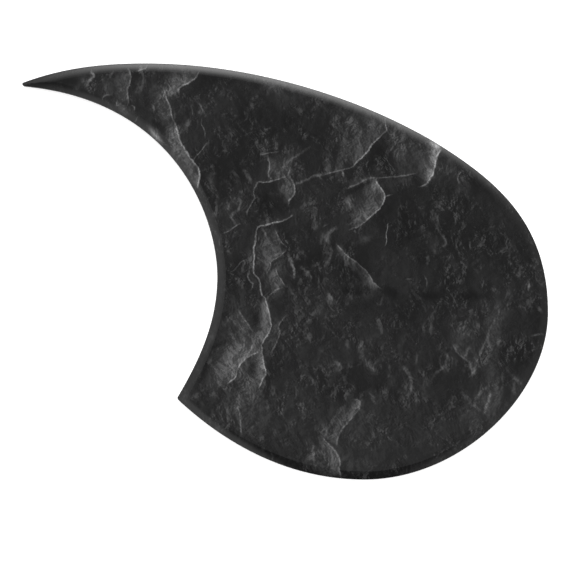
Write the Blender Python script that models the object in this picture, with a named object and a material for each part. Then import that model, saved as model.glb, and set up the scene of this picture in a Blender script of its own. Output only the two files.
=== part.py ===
# Stick-on pickguard for a steel-string guitar: a bevelled slate-patterned face on a black base ply,
# with an adhesive film and a two-piece release liner on its back. Metres, +Z up, face upwards.
# The origin is at the middle of the outline's box, on the surface that the liner lies on.
import bmesh
import bpy
import numpy as np

# Overall outline
LENGTH = 0.1712
WIDTH = 0.1355
CROWN_X = -0.0452
CHEEK_Y = -0.0133
BELLY_X = 0.0258
SHOULDER_BACK = 0.0331
SHOULDER_DROP = 0.0280
SHOULDER_ANGLE = -32.9

# Arc round the sound hole's rosette, from the heel to the horn's tip
WAIST_X = -0.0221
WAIST_Y = -0.0017
HEEL_X = -0.0350
HEEL_RISE = 0.0269
HEEL_BLUNT = 0.0014
TIP_DROP = 0.00625
TIP_BLUNT = 0.0013
TIP_BULGE = 0.00034
TIP_STEEPNESS = 2.37

# Layers, from the surface up
LINER_THICKNESS = 0.00015
ADHESIVE_THICKNESS = 0.00015
BASE_THICKNESS = 0.0005
FACE_THICKNESS = 0.0013
LAYER_GAP = 0.0003
BEVEL_WIDTH = 0.0028
BEVEL_DROP = 0.0010
BEVEL_STEPS = 3
LINER_INSET = 0.0004
ADHESIVE_INSET = 0.0015
STRIP_WIDTH = 0.0205
SLIT_WIDTH = 0.0006

POINTS_PER_SPAN = 28
POINTS_PER_CORNER = 12
CORNER_REACH = 0.005
MERGE = 1e-6


def clear_scene():
    for item in list(bpy.data.objects):
        bpy.data.objects.remove(item)


def make_collection(name, hidden=False):
    collection = bpy.data.collections.new(name)
    bpy.context.scene.collection.children.link(collection)
    collection.hide_render = hidden
    return collection


def make_material(name, colour, roughness):
    material = bpy.data.materials.new(name)
    material.use_nodes = True
    shader = material.node_tree.nodes["Principled BSDF"]
    shader.inputs["Base Color"].default_value = (*colour, 1.0)
    shader.inputs["Roughness"].default_value = roughness
    shader.inputs["Metallic"].default_value = 0.0
    return material


def heading(degrees):
    return np.array([np.cos(np.radians(degrees)), np.sin(np.radians(degrees))])


def outline_spans():
    """The outline clockwise from the horn's tip. Each span is two knots, the way the outline leaves
    one and reaches the other, and its two handles as shares of the distance between the knots."""
    right = LENGTH / 2
    top = WIDTH / 2
    tip_top = np.array([TIP_BULGE - right, top - TIP_DROP])
    tip_under = tip_top + TIP_BLUNT * heading(-71.0)
    crown = np.array([CROWN_X, top])
    shoulder = np.array([right - SHOULDER_BACK, top - SHOULDER_DROP])
    cheek = np.array([right, CHEEK_Y])
    belly = np.array([BELLY_X, -top])
    heel = np.array([HEEL_X, HEEL_RISE - top])
    heel_under = heel + HEEL_BLUNT * heading(-67.0)
    waist = np.array([WAIST_X, WAIST_Y])
    climb = np.degrees(np.arctan(TIP_STEEPNESS * TIP_DROP / (crown[0] - tip_top[0])))
    along = SHOULDER_ANGLE
    return [
        (tip_top, climb, 0.353, crown, 0.0, 0.345),
        (crown, 0.0, 0.378, shoulder, along, 0.259),
        (shoulder, along, 0.358, cheek, -90.0, 0.434),
        (cheek, -90.0, 0.335, belly, 180.0, 0.387),
        (belly, 180.0, 0.349, heel_under, 137.4, 0.356),
        (heel_under, 137.4, 0.375, heel, 59.4, 0.375),
        (heel, 59.4, 0.325, waist, 90.0, 0.362),
        (waist, 90.0, 0.205, tip_under, 174.5, 0.571),
        (tip_under, 174.5, 0.545, tip_top, climb, 0.545),
    ]


def outline_points():
    """Points along the outline's cubic spans. The two blunt corners have few, close together."""
    points = []
    for start, leaving, first, end, reaching, last in outline_spans():
        reach = np.hypot(*(end - start))
        handles = (start + first * reach * heading(leaving), end - last * reach * heading(reaching))
        count = POINTS_PER_SPAN if reach > CORNER_REACH else POINTS_PER_CORNER
        for t in np.arange(count) / count:
            s = 1 - t
            points.append(
                s**3 * start + 3 * s * s * t * handles[0] + 3 * s * t * t * handles[1] + t**3 * end
            )
    return np.array(points)


def crossing(a, along, b, other):
    """Where the line through a meets the line through b, each with its direction."""
    apart = b - a
    share = (apart[0] * other[1] - apart[1] * other[0]) / (along[0] * other[1] - along[1] * other[0])
    return a + share * along


def distance_to(points, loop):
    """How far each point is from the closed loop."""
    ahead = np.roll(loop, -1, axis=0) - loop
    reach = points[:, None, :] - loop[None, :, :]
    share = np.clip((reach * ahead).sum(-1) / (ahead * ahead).sum(-1), 0, 1)
    return np.linalg.norm(reach - share[..., None] * ahead, axis=-1).min(axis=1)


def inset(loop, depth):
    """The clockwise loop moved inwards. It keeps its number of points: where the two sides of a corner
    would cross, as at the horn's tip, all the points between become the one point where they meet."""
    if depth == 0:
        return loop.copy()
    ahead = np.roll(loop, -1, axis=0) - loop
    ahead /= np.linalg.norm(ahead, axis=1)[:, None]
    tangent = ahead + np.roll(ahead, 1, axis=0)
    tangent /= np.linalg.norm(tangent, axis=1)[:, None]
    moved = loop + depth * np.column_stack([tangent[:, 1], -tangent[:, 0]])
    clear = distance_to(moved, loop) > 0.98 * depth
    count = len(loop)
    for first in np.flatnonzero(~clear & np.roll(clear, 1)):
        last = first
        while not clear[(last + 1) % count]:
            last += 1
        before, after = first - 1, (last + 1) % count
        corner = crossing(moved[before], tangent[before], moved[after], tangent[after])
        for k in range(first, last + 1):
            moved[k % count] = corner
    return moved


def face_outwards(shape):
    """Turns the faces of a closed shape outwards, also of a thin bent one."""
    bmesh.ops.recalc_face_normals(shape, faces=shape.faces)
    if shape.calc_volume(signed=True) < 0:
        bmesh.ops.reverse_faces(shape, faces=shape.faces)


def object_from(name, mesh, material, collection):
    mesh.materials.clear()
    mesh.materials.append(material)
    piece = bpy.data.objects.new(name, mesh)
    collection.objects.link(piece)
    return piece


def flat_sheet(name, loop, low, thickness, material, collection):
    """A sheet of even thickness, from a filled curve round the loop."""
    curve = bpy.data.curves.new(name + "_outline", "CURVE")
    curve.dimensions = "2D"
    curve.fill_mode = "BOTH"
    curve.extrude = thickness / 2
    distinct = [point for k, point in enumerate(loop) if np.hypot(*(point - loop[k - 1])) > MERGE]
    spline = curve.splines.new("POLY")
    spline.points.add(len(distinct) - 1)
    for point, place in zip(spline.points, distinct):
        point.co = (*place, 0.0, 1.0)
    spline.use_cyclic_u = True
    guide = bpy.data.objects.new(name + "_outline", curve)
    collection.objects.link(guide)
    bpy.context.view_layer.update()
    evaluated = guide.evaluated_get(bpy.context.evaluated_depsgraph_get())
    mesh = bpy.data.meshes.new_from_object(evaluated)
    bpy.data.objects.remove(guide)
    mesh.name = name
    shape = bmesh.new()
    shape.from_mesh(mesh)
    bmesh.ops.remove_doubles(shape, verts=shape.verts, dist=MERGE)
    bmesh.ops.translate(shape, verts=shape.verts, vec=(0.0, 0.0, low + thickness / 2))
    face_outwards(shape)
    shape.to_mesh(mesh)
    shape.free()
    return object_from(name, mesh, material, collection)


def trim_at(piece, place, keep_left):
    """Cuts the piece at x = place with the plane square to X, and closes the cut."""
    shape = bmesh.new()
    shape.from_mesh(piece.data)
    cut = bmesh.ops.bisect_plane(
        shape,
        geom=shape.verts[:] + shape.edges[:] + shape.faces[:],
        dist=MERGE,
        plane_co=(place, 0.0, 0.0),
        plane_no=(1.0, 0.0, 0.0),
        clear_outer=keep_left,
        clear_inner=not keep_left,
    )
    rim = [item for item in cut["geom_cut"] if isinstance(item, bmesh.types.BMEdge)]
    bmesh.ops.holes_fill(shape, edges=rim)
    face_outwards(shape)
    shape.to_mesh(piece.data)
    shape.free()


def bevelled_sheet(name, loop, low, thickness, material, collection):
    """A sheet whose upper edge is bevelled all round: the outline is raised, then drawn in ring by ring."""
    rings = [(0.0, low), (0.0, low + thickness - BEVEL_DROP)]
    for step in range(1, BEVEL_STEPS + 1):
        share = step / BEVEL_STEPS
        rings.append((share * BEVEL_WIDTH, low + thickness - (1 - share) * BEVEL_DROP))
    shape = bmesh.new()
    order = shape.verts.layers.int.new("order")
    for k, point in enumerate(loop):
        vertex = shape.verts.new((*point, low))
        vertex[order] = k
    lid = back = shape.faces.new(shape.verts)
    for depth, height in rings[1:]:
        drawn = inset(loop, depth)
        raised = bmesh.ops.extrude_face_region(shape, geom=[lid])["geom"]
        if lid is not back:
            shape.faces.remove(lid)
        lid = next(item for item in raised if isinstance(item, bmesh.types.BMFace))
        for vertex in lid.verts:
            vertex.co = (*drawn[vertex[order]], height)
    bmesh.ops.remove_doubles(shape, verts=shape.verts, dist=MERGE)
    bmesh.ops.dissolve_degenerate(shape, edges=shape.edges, dist=MERGE)
    face_outwards(shape)
    mesh = bpy.data.meshes.new(name)
    shape.to_mesh(mesh)
    shape.free()
    return object_from(name, mesh, material, collection)


def joint_empty(name, place, collection, pieces):
    """An empty on a joint's axis, which carries the pieces that move with it."""
    empty = bpy.data.objects.new(name, None)
    empty.empty_display_size = 0.01
    empty.location = place
    collection.objects.link(empty)
    bpy.context.view_layer.update()
    for piece in pieces:
        piece.parent = empty
        piece.matrix_parent_inverse = empty.matrix_world.inverted()


def build():
    clear_scene()
    pickguard = make_collection("stick_on_pickguard")
    slate = make_material("slate_gloss", (0.030, 0.030, 0.031), 0.18)
    black = make_material("black_base", (0.018, 0.018, 0.019), 0.45)
    tack = make_material("adhesive", (0.62, 0.60, 0.54), 0.35)
    paper = make_material("liner_paper", (0.80, 0.76, 0.66), 0.75)

    outline = outline_points()
    liner_loop = inset(outline, LINER_INSET)
    adhesive_low = LINER_THICKNESS + LAYER_GAP
    base_low = adhesive_low + ADHESIVE_THICKNESS + LAYER_GAP
    face_low = base_low + BASE_THICKNESS + LAYER_GAP
    slit = LENGTH / 2 - STRIP_WIDTH

    liner_main = flat_sheet("liner_main", liner_loop, 0.0, LINER_THICKNESS, paper, pickguard)
    trim_at(liner_main, slit - SLIT_WIDTH / 2, keep_left=True)
    liner_strip = flat_sheet("liner_strip", liner_loop, 0.0, LINER_THICKNESS, paper, pickguard)
    trim_at(liner_strip, slit + SLIT_WIDTH / 2, keep_left=False)
    adhesive_loop = inset(outline, ADHESIVE_INSET)
    adhesive = flat_sheet(
        "adhesive_film", adhesive_loop, adhesive_low, ADHESIVE_THICKNESS, tack, pickguard
    )
    base = flat_sheet("base_ply", outline, base_low, BASE_THICKNESS, black, pickguard)
    face = bevelled_sheet("slate_face", outline, face_low, FACE_THICKNESS, slate, pickguard)

    joint_empty("guard_lift_axis", (0.0, 0.0, adhesive_low), pickguard, [adhesive, base, face])
    joint_empty("strip_pull_axis", (slit, CHEEK_Y, 0.0), pickguard, [liner_strip])


build()
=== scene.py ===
import math

import bmesh
import bpy
import numpy as np
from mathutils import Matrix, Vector


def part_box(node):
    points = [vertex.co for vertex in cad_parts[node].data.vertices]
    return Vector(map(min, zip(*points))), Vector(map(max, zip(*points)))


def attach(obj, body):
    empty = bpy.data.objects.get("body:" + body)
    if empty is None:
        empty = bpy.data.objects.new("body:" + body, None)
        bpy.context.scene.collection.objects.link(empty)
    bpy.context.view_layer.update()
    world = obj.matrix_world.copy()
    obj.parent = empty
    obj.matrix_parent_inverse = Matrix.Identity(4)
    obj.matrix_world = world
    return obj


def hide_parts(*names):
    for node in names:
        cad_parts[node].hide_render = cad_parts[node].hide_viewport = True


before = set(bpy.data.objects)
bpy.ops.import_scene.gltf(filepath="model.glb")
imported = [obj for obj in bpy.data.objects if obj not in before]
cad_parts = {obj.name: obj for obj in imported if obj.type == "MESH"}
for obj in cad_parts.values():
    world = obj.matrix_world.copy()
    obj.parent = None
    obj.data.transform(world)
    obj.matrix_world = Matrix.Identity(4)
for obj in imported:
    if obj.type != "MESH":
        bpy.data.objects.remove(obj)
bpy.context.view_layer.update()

mm = 0.001


def heading(degrees):
    return np.array([math.cos(math.radians(degrees)), math.sin(math.radians(degrees))])


# the outline, which all layers share
outlineSizes = {
    "crownX": -45.2 * mm,
    "cheekY": -13.3 * mm,
    "bellyX": 25.8 * mm,
    "shoulderBack": 33.1 * mm,
    "shoulderDrop": 28.0 * mm,
    "shoulderAngle": -32.9,
    "waist": (-22.1 * mm, -1.7 * mm),
    "heelX": -35.0 * mm,
    "heelRise": 26.9 * mm,
    "heelBlunt": 1.4 * mm,
    "heelTurn": -67.0,
    "tipDrop": 6.25 * mm,
    "tipBlunt": 1.3 * mm,
    "tipBulge": 0.343 * mm,
    "tipTurn": -71.0,
    "tipClimb": 20.3,
    "spacing": 0.6 * mm,  # between points along the outline
    "slack": 1.08,  # a span is about this much longer than its chord
    "cornerPoints": 12,
}


def outlinePoints():
    # cubic spans clockwise from the horn's tip: knot, way out, share, knot, way in, share
    s = outlineSizes
    low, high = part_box("base_ply")
    tipTop = np.array([low.x + s["tipBulge"], high.y - s["tipDrop"]])
    tipUnder = tipTop + s["tipBlunt"] * heading(s["tipTurn"])
    crown = np.array([s["crownX"], high.y])
    shoulder = np.array([high.x - s["shoulderBack"], high.y - s["shoulderDrop"]])
    cheek = np.array([high.x, s["cheekY"]])
    belly = np.array([s["bellyX"], low.y])
    heel = np.array([s["heelX"], low.y + s["heelRise"]])
    heelUnder = heel + s["heelBlunt"] * heading(s["heelTurn"])
    waist = np.array(s["waist"])
    climb, along = s["tipClimb"], s["shoulderAngle"]
    spans = [
        (tipTop, climb, 0.353, crown, 0.0, 0.345),
        (crown, 0.0, 0.378, shoulder, along, 0.259),
        (shoulder, along, 0.358, cheek, -90.0, 0.434),
        (cheek, -90.0, 0.335, belly, 180.0, 0.387),
        (belly, 180.0, 0.349, heelUnder, 137.4, 0.356),
        (heelUnder, 137.4, 0.375, heel, 59.4, 0.375),
        (heel, 59.4, 0.325, waist, 90.0, 0.362),
        (waist, 90.0, 0.205, tipUnder, 174.5, 0.571),
        (tipUnder, 174.5, 0.545, tipTop, climb, 0.545),
    ]
    points = []
    for start, leaving, first, end, reaching, last in spans:
        reach = np.hypot(*(end - start))
        a = start + first * reach * heading(leaving)
        b = end - last * reach * heading(reaching)
        count = max(s["cornerPoints"], round(s["slack"] * reach / s["spacing"]))
        for t in np.arange(count) / count:
            u = 1 - t
            points.append(u**3 * start + 3 * u * u * t * a + 3 * u * t * t * b + t**3 * end)
    return np.array(points)


def distanceTo(points, loop, batch=2000):
    # how far each point is from the closed loop
    ahead = np.roll(loop, -1, axis=0) - loop
    length = (ahead * ahead).sum(-1)
    found = []
    for first in range(0, len(points), batch):
        reach = points[first : first + batch, None, :] - loop[None, :, :]
        share = np.clip((reach * ahead).sum(-1) / length, 0, 1)
        found.append(np.linalg.norm(reach - share[..., None] * ahead, axis=-1).min(axis=1))
    return np.concatenate(found)


def crossing(a, along, b, other):
    apart = b - a
    share = (apart[0] * other[1] - apart[1] * other[0]) / (along[0] * other[1] - along[1] * other[0])
    return a + share * along


def inset(loop, depth):
    # the loop moved inwards with as many points: a run that would cross itself becomes one corner point
    if depth == 0:
        return loop.copy()
    ahead = np.roll(loop, -1, axis=0) - loop
    ahead /= np.linalg.norm(ahead, axis=1)[:, None]
    tangent = ahead + np.roll(ahead, 1, axis=0)
    tangent /= np.linalg.norm(tangent, axis=1)[:, None]
    moved = loop + depth * np.column_stack([tangent[:, 1], -tangent[:, 0]])
    clear = distanceTo(moved, loop) > 0.98 * depth
    count = len(loop)
    for first in np.flatnonzero(~clear & np.roll(clear, 1)):
        last = first
        while not clear[(last + 1) % count]:
            last += 1
        before, after = first - 1, (last + 1) % count
        corner = crossing(moved[before], tangent[before], moved[after], tangent[after])
        for k in range(first, last + 1):
            moved[k % count] = corner
    return moved


meshSizes = {
    "merge": 0.001 * mm,  # points nearer than this are one
    "cutMerge": 0.0005 * mm,
    "sameHeight": 0.01 * mm,
}


def faceOutwards(shape):
    bmesh.ops.recalc_face_normals(shape, faces=shape.faces)
    if shape.calc_volume(signed=True) < 0:
        bmesh.ops.reverse_faces(shape, faces=shape.faces)


def cutLargeFaces(shape):
    bmesh.ops.triangulate(shape, faces=[f for f in shape.faces if len(f.verts) > 4])


def bevelledSheet(rings, sharpAfter):
    # a closed sheet from rings of (inset, height); rings numbered in sharpAfter keep a crisp edge
    shape = bmesh.new()
    order = shape.verts.layers.int.new("order")
    depth, height = rings[0]
    for k, point in enumerate(inset(outline, depth)):
        vertex = shape.verts.new((*point, height))
        vertex[order] = k
    lid = back = shape.faces.new(shape.verts)
    for edge in shape.edges:
        edge.smooth = False
    for k, (depth, height) in enumerate(rings[1:], start=1):
        drawn = inset(outline, depth)
        raised = bmesh.ops.extrude_face_region(shape, geom=[lid])["geom"]
        if lid is not back:
            shape.faces.remove(lid)
        lid = next(item for item in raised if isinstance(item, bmesh.types.BMFace))
        for vertex in lid.verts:
            vertex.co = (*drawn[vertex[order]], height)
        for edge in lid.edges:
            edge.smooth = k not in sharpAfter
    bmesh.ops.remove_doubles(shape, verts=shape.verts, dist=meshSizes["merge"])
    bmesh.ops.dissolve_degenerate(shape, edges=shape.edges, dist=meshSizes["merge"])
    faceOutwards(shape)
    return shape


def sliceLid(shape, height, step):
    # cuts the flat lid into a fine grid, so that the pattern's attributes have points to sit on
    low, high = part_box("base_ply")
    floorOfLid = height - meshSizes["sameHeight"]
    for axis in (0, 1):
        normal = Vector((1, 0, 0)) if axis == 0 else Vector((0, 1, 0))
        for k in range(1, int((high[axis] - low[axis]) / step) + 1):
            place = low[axis] + k * step
            lid = [f for f in shape.faces if f.normal.z > 0.999 and f.verts[0].co.z > floorOfLid]
            near = [f for f in lid if any(v.co[axis] < place for v in f.verts)
                    and any(v.co[axis] > place for v in f.verts)]
            if near:
                edges = {e for f in near for e in f.edges}
                verts = {v for f in near for v in f.verts}
                bmesh.ops.bisect_plane(shape, geom=list(verts) + list(edges) + near,
                                       dist=meshSizes["cutMerge"], plane_co=normal * place, plane_no=normal)


outline = outlinePoints()
print("outline:", len(outline), "points")

# Veins, in mm on the face: half width, brightness, glow beside it, how far the glow reaches, points.
# The glow lies on the left of the way the vein runs, or on the right where the reach is negative.
veins = [
    # horn
    (0.36, 0.5, 0.85, -2.6, [(-51, 66), (-50.2, 63.5), (-50.5, 61), (-51.3, 58.5), (-51, 56), (-51, 54.5)]),
    (0.6, 0.45, 0.3, -1.3, [(-63, 65), (-62.3, 63.4), (-63.8, 61.6), (-64.8, 60)]),
    (0.3, 0.25, 0.0, 1.0, [(-55.8, 65), (-57.2, 62.7)]),
    (0.3, 0.3, 0.1, 1.0, [(-59.5, 56), (-58.5, 57.2), (-57, 57.3)]),
    (0.3, 0.35, 0.1, 1.0, [(-54.5, 55.5), (-54.8, 53.8), (-53.5, 54.5)]),
    (0.3, 0.35, 0.2, -1.5, [(-50, 54), (-49, 53.5), (-49, 52)]),
    (0.4, 0.45, 0.2, 1.5, [(-48.5, 65), (-45.5, 66), (-45, 67)]),
    (0.3, 0.35, 0.1, -1.0, [(-48, 50), (-48.8, 48.8)]),
    (0.3, 0.25, 0.1, -1.0, [(-42.8, 54), (-42.5, 51.5)]),
    # crown and upper left
    (0.36, 0.68, 0.6, -3.5, [(-28, 65), (-29, 63), (-31, 61.5), (-34.5, 59.5), (-34.3, 57.5)]),
    (0.32, 0.5, 0.7, -2.3, [(-38.3, 59.5), (-39, 58), (-38.5, 56), (-37.5, 54), (-37, 51.5), (-36.5, 49)]),
    (0.38, 0.72, 0.9, -2.4, [(-36, 48.5), (-34.8, 45), (-34, 42), (-32, 39), (-31, 37), (-30, 35.8),
                             (-28.5, 34), (-27.8, 32), (-28, 29.5), (-28.5, 27.3)]),
    (0.25, 0.35, 0.0, 1.0, [(-29.8, 36), (-29, 37.5), (-27.5, 39), (-25.5, 41.8)]),
    (0.3, 0.25, 0.0, 1.0, [(-28.5, 55), (-27, 53), (-26, 50.5)]),
    (0.3, 0.3, 0.0, 1.0, [(-27, 50), (-27.2, 48), (-26.2, 46), (-26, 43.5)]),
    (0.4, 0.2, 0.0, 1.0, [(-31, 49), (-33, 46)]),
    (0.3, 0.3, 0.1, 1.0, [(-18, 22.5), (-18.5, 20.5)]),
    (0.3, 0.24, 0.08, 1.2, [(-15, 24), (-14.5, 22), (-15.5, 20), (-17.5, 18), (-17, 16.5), (-16, 15.5)]),
    (0.3, 0.4, 0.1, 1.0, [(-20, 12.5), (-18, 13.3), (-16, 14.8), (-14.7, 15.3)]),
    (0.4, 0.25, 0.0, 1.0, [(-13.5, 33), (-12, 31), (-11, 28.5)]),
    # middle top
    (0.32, 0.5, 0.15, -1.5, [(0, 30.8), (-3, 29.7), (-6.5, 29), (-8.7, 29), (-9.5, 28), (-10.2, 26),
                             (-10, 23.7), (-11.2, 21.5), (-12.2, 19.5), (-12.3, 18.5)]),
    (0.35, 0.4, 0.3, 2.0, [(-5.5, 37), (-5, 34), (-5.5, 31.5), (-4.5, 30)]),
    (0.3, 0.35, 0.35, -2.0, [(1.8, 34), (1.2, 32), (1, 31)]),
    (0.3, 0.3, 0.0, 1.0, [(-8, 38), (-5, 38.5), (-2, 39)]),
    (0.3, 0.15, 0.0, 1.0, [(0, 35), (3, 37), (8, 40.5)]),
    (0.34, 0.66, 0.4, -4.5, [(32.5, 50), (32.6, 47.5), (33.1, 46), (32, 45), (30, 43), (28.3, 41.3),
                             (27, 39.3), (25.5, 37.5), (23.5, 35.8), (22.2, 34.2)]),
    (0.3, 0.34, 0.1, -2.5, [(22.2, 34.2), (20, 33.3), (17, 32.6), (14.5, 32), (12.8, 31.5)]),
    (0.3, 0.25, 0.05, -1.5, [(12.8, 31.4), (9.5, 31), (7.5, 30), (5, 29), (2.8, 28.2)]),
    (0.35, 0.6, 0.45, -2.5, [(1.8, 30.5), (2.5, 29), (3, 27.5), (3, 25.5), (2.3, 24.2), (1.3, 23),
                             (1.2, 22)]),
    (0.3, 0.32, 0.05, 1.5, [(30.3, 30.3), (34, 30.7), (38, 31), (42.5, 31.9)]),
    (0.4, 0.45, 0.0, 1.0, [(18.3, 33), (18.6, 32), (19, 31)]),
    (0.4, 0.25, 0.14, 1.2, [(14.5, 9.2), (13.6, 10), (14, 11.2), (14.5, 12.6), (15.4, 13.5), (16.8, 14.1)]),
    (0.3, 0.3, 0.05, 1.0, [(12.3, 14.5), (14, 15.4)]),
    # right of the middle
    (0.35, 0.78, 0.85, -3.0, [(29.8, 30.2), (29.6, 29.4), (30.3, 28), (31.5, 26.5), (32.3, 25),
                              (32.3, 23.5), (31.5, 21.8), (30, 19.8), (28, 18), (26.5, 16.7), (25, 15.5)]),
    (0.35, 0.45, 0.2, -2.0, [(25, 15.5), (23.5, 14.5), (21, 13.6)]),
    (0.3, 0.3, 0.0, 1.0, [(32.2, 24.2), (34.5, 24.9)]),
    (0.4, 0.3, 0.2, 1.4, [(20, 27), (24, 28.6), (26.5, 30), (29.5, 30.6)]),
    (0.4, 0.85, 1.6, -1.9, [(50.6, 39.6), (49.4, 37.6), (48.9, 36), (48.8, 34.5), (48.3, 33), (48, 31.5),
                            (47, 30), (46.3, 28.8)]),
    (0.35, 0.4, 0.1, -1.5, [(46.3, 28.8), (45, 27.9), (43.5, 27.5)]),
    (0.24, 0.34, 0.05, 1.0, [(57.6, 32.8), (56.4, 31.4), (56, 29.8), (56.5, 28.6)]),
    (0.4, 0.2, 0.15, 1.5, [(52, 31.5), (53.8, 32.4), (55.5, 33.5)]),
    (0.3, 0.36, 0.52, -2.6, [(16.5, 9), (18, 7.5), (19, 6.3), (20, 5.3), (22, 3.8), (23.5, 2.8),
                             (25, 1.3), (26.5, 0), (27.5, -1.5), (28.5, -3.3), (29.5, -4.3), (31, -5.5)]),
    (0.35, 0.2, 0.0, 1.0, [(14.5, 8.5), (15, 6), (14.5, 4), (13.5, 2), (12.5, 0.5)]),
    (0.22, 0.78, 0.0, 1.0, [(33.3, 15.3), (33.2, 13.5), (32.8, 12.3), (32.9, 11), (33, 10), (32.6, 8.5)]),
    (0.3, 0.25, 0.05, 1.0, [(50, 18.5), (49.4, 17.2), (49.8, 15.5)]),
    (0.35, 0.22, 0.1, -1.0, [(51, 11.8), (52, 10.5), (52.3, 9), (51.5, 8)]),
    (0.4, 0.3, 0.0, 1.0, [(60, 9.6), (60, 7)]),
    (0.35, 0.28, 0.0, 1.0, [(46.4, 5), (46.2, 2.3)]),
    (0.3, 0.3, 0.0, 1.0, [(45.3, -1.5), (46, -3), (46, -4.6)]),
    (0.3, 0.3, 0.0, 1.0, [(39.4, -2.5), (41, -2.5)]),
    (0.35, 0.15, 0.0, 1.0, [(41, -6), (42.6, -8), (44, -9)]),
    (0.4, 0.35, 0.0, 1.0, [(79.3, -3.8), (79, -6.2)]),
    (0.35, 0.22, 0.0, 1.0, [(82, -11), (83.5, -13.5)]),
    (0.25, 0.2, 0.0, 1.0, [(76.5, 1.5), (76.3, 0), (76, -2)]),
    (0.5, 0.18, 0.0, 1.0, [(72.6, -6), (72, -8.5)]),
    # the long vein down the middle
    (0.36, 0.8, 0.12, -1.2, [(2.3, 18.3), (0.5, 17), (-1.5, 16.2), (-4, 15.8), (-6.5, 15), (-8, 14.8),
                             (-9, 14), (-9.5, 12), (-9.8, 9), (-10.3, 7), (-10, 5), (-10.2, 2.5),
                             (-10.3, 0), (-9.8, -1), (-8.5, -2.5), (-8, -5), (-7.8, -7), (-6.5, -8.7)]),
    (0.35, 0.7, 1.1, -2.0, [(-6.5, -8.7), (-5.9, -11), (-5.3, -13.2), (-4.8, -15.5), (-4.6, -17.5),
                            (-5, -19.5), (-6.5, -21.8), (-7.7, -24)]),
    (0.35, 0.6, 0.95, -1.8, [(-7.7, -24), (-7.3, -27.8), (-6.8, -30.5), (-6.2, -32.7), (-7, -34.5),
                             (-7.9, -36.5), (-8.6, -38)]),
    (0.3, 0.25, 0.0, 1.0, [(-7.5, 14.5), (-6, 11)]),
    (0.25, 0.42, 0.5, -2.5, [(0.4, 7.3), (-0.5, 6), (-2.5, 4.5), (-4.5, 3.2), (-5, 1), (-6, -0.5)]),
    (0.25, 0.3, 0.4, -2.5, [(-3.2, 13.4), (-1.5, 10), (-0.2, 8.5)]),
    (0.65, 0.5, 0.2, -1.5, [(0.8, 6), (1.8, 3.5), (2.8, 1), (3, -1), (2.8, -2.2)]),
    (0.25, 0.36, 0.45, -2.0, [(-3, 1), (-2.5, -1), (-1, -3), (0, -5)]),
    (0.3, 0.3, 0.05, 1.0, [(-1, -5.2), (-3, -6), (-4.7, -7.5)]),
    (0.3, 0.4, 0.05, 1.0, [(-12, -0.5), (-12, -2.5), (-10.5, -4), (-11, -6)]),
    (0.3, 0.35, 0.05, 1.0, [(-12.5, 4), (-14.5, 3), (-16, 1), (-17.3, 0)]),
    (0.35, 0.4, 0.6, -2.2, [(-15.2, -12.4), (-14.2, -14.2), (-13, -15.9), (-11.9, -17.4), (-10.8, -19.1)]),
    (0.35, 0.22, 0.0, 1.0, [(5, 1.5), (7, 0.2), (8, -1.8)]),
    # lower left
    (0.35, 0.75, 0.8, 3.0, [(-18.6, -36.3), (-17.5, -35.5), (-16.2, -34.3), (-15.5, -32), (-14.4, -30),
                            (-13, -28.5), (-11.4, -27.3), (-8.9, -26.3)]),
    (0.35, 0.35, 0.1, 1.0, [(-10.5, -24), (-12, -27)]),
    (0.35, 0.3, 0.25, -1.8, [(0.3, -14.3), (-1.5, -16.5), (-2.2, -18.3), (-1.7, -20), (-2.5, -22.5),
                             (-3.5, -24.5), (-4.5, -26)]),
    (0.4, 0.35, 0.1, -1.5, [(-15.5, -44), (-14.5, -47), (-14.5, -50), (-14.2, -53)]),
    (0.35, 0.22, 0.1, 1.0, [(-6, -42), (-5.5, -45)]),
    # bottom and right of it
    (0.4, 0.38, 0.6, -2.4, [(12.3, -54), (14, -56), (16, -58), (17.3, -60), (17.8, -62), (17.6, -64.5),
                            (18.3, -67)]),
    (0.35, 0.28, 0.1, -1.2, [(9, -56), (9, -59), (9.5, -62)]),
    (0.4, 0.3, 0.5, -2.4, [(22, -41.5), (24.2, -42), (24, -44.5), (22.5, -46.5), (21, -48.5),
                           (19, -50.5), (17.8, -52.5), (17, -54.5), (16.8, -56.5)]),
    (0.35, 0.15, 0.1, 1.5, [(20, -43), (17, -46), (14.5, -50), (13, -53.5)]),
    (0.6, 0.16, 0.08, 1.2, [(24.3, -22), (25, -25), (24.7, -26.5), (25.5, -28.5), (27, -30.5),
                            (29, -32.5), (30, -33)]),
    (0.35, 0.2, 0.0, 1.0, [(20, -22.5), (20.4, -25)]),
    (0.35, 0.2, 0.0, 1.0, [(19.3, -34.3), (19.7, -36.5)]),
    (0.35, 0.2, 0.05, 1.0, [(16, -29), (18, -30.5), (18.3, -32)]),
    (0.35, 0.22, 0.0, 1.0, [(31.2, -18.5), (31.5, -20.2)]),
    (0.4, 0.22, 0.05, 1.2, [(38.5, -31), (40.3, -33.5), (41, -35.5), (41, -38), (40, -40)]),
    (0.3, 0.18, 0.0, 1.0, [(42.8, -27), (42.5, -30)]),
    (0.4, 0.12, 0.0, 1.0, [(47.8, -13.5), (47.8, -16), (47.3, -18), (47.5, -20.5)]),
    (0.35, 0.15, 0.0, 1.0, [(45, -17.5), (45.2, -20.5)]),
    (0.3, 0.18, 0.0, 1.0, [(52.2, -26.5), (52.6, -28.5), (51.5, -31), (49, -33), (48.3, -34)]),
    (0.35, 0.2, 0.05, 1.0, [(27.5, -39), (28.5, -41), (29.3, -43)]),
    (0.3, 0.2, 0.0, 1.0, [(14.2, -7.4), (15.3, -9), (15.8, -10.5)]),
    # lower right
    (0.3, 0.12, 0.12, 1.8, [(69.5, -11.5), (69.3, -14), (68, -16), (66.5, -19), (65.5, -22)]),
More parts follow.
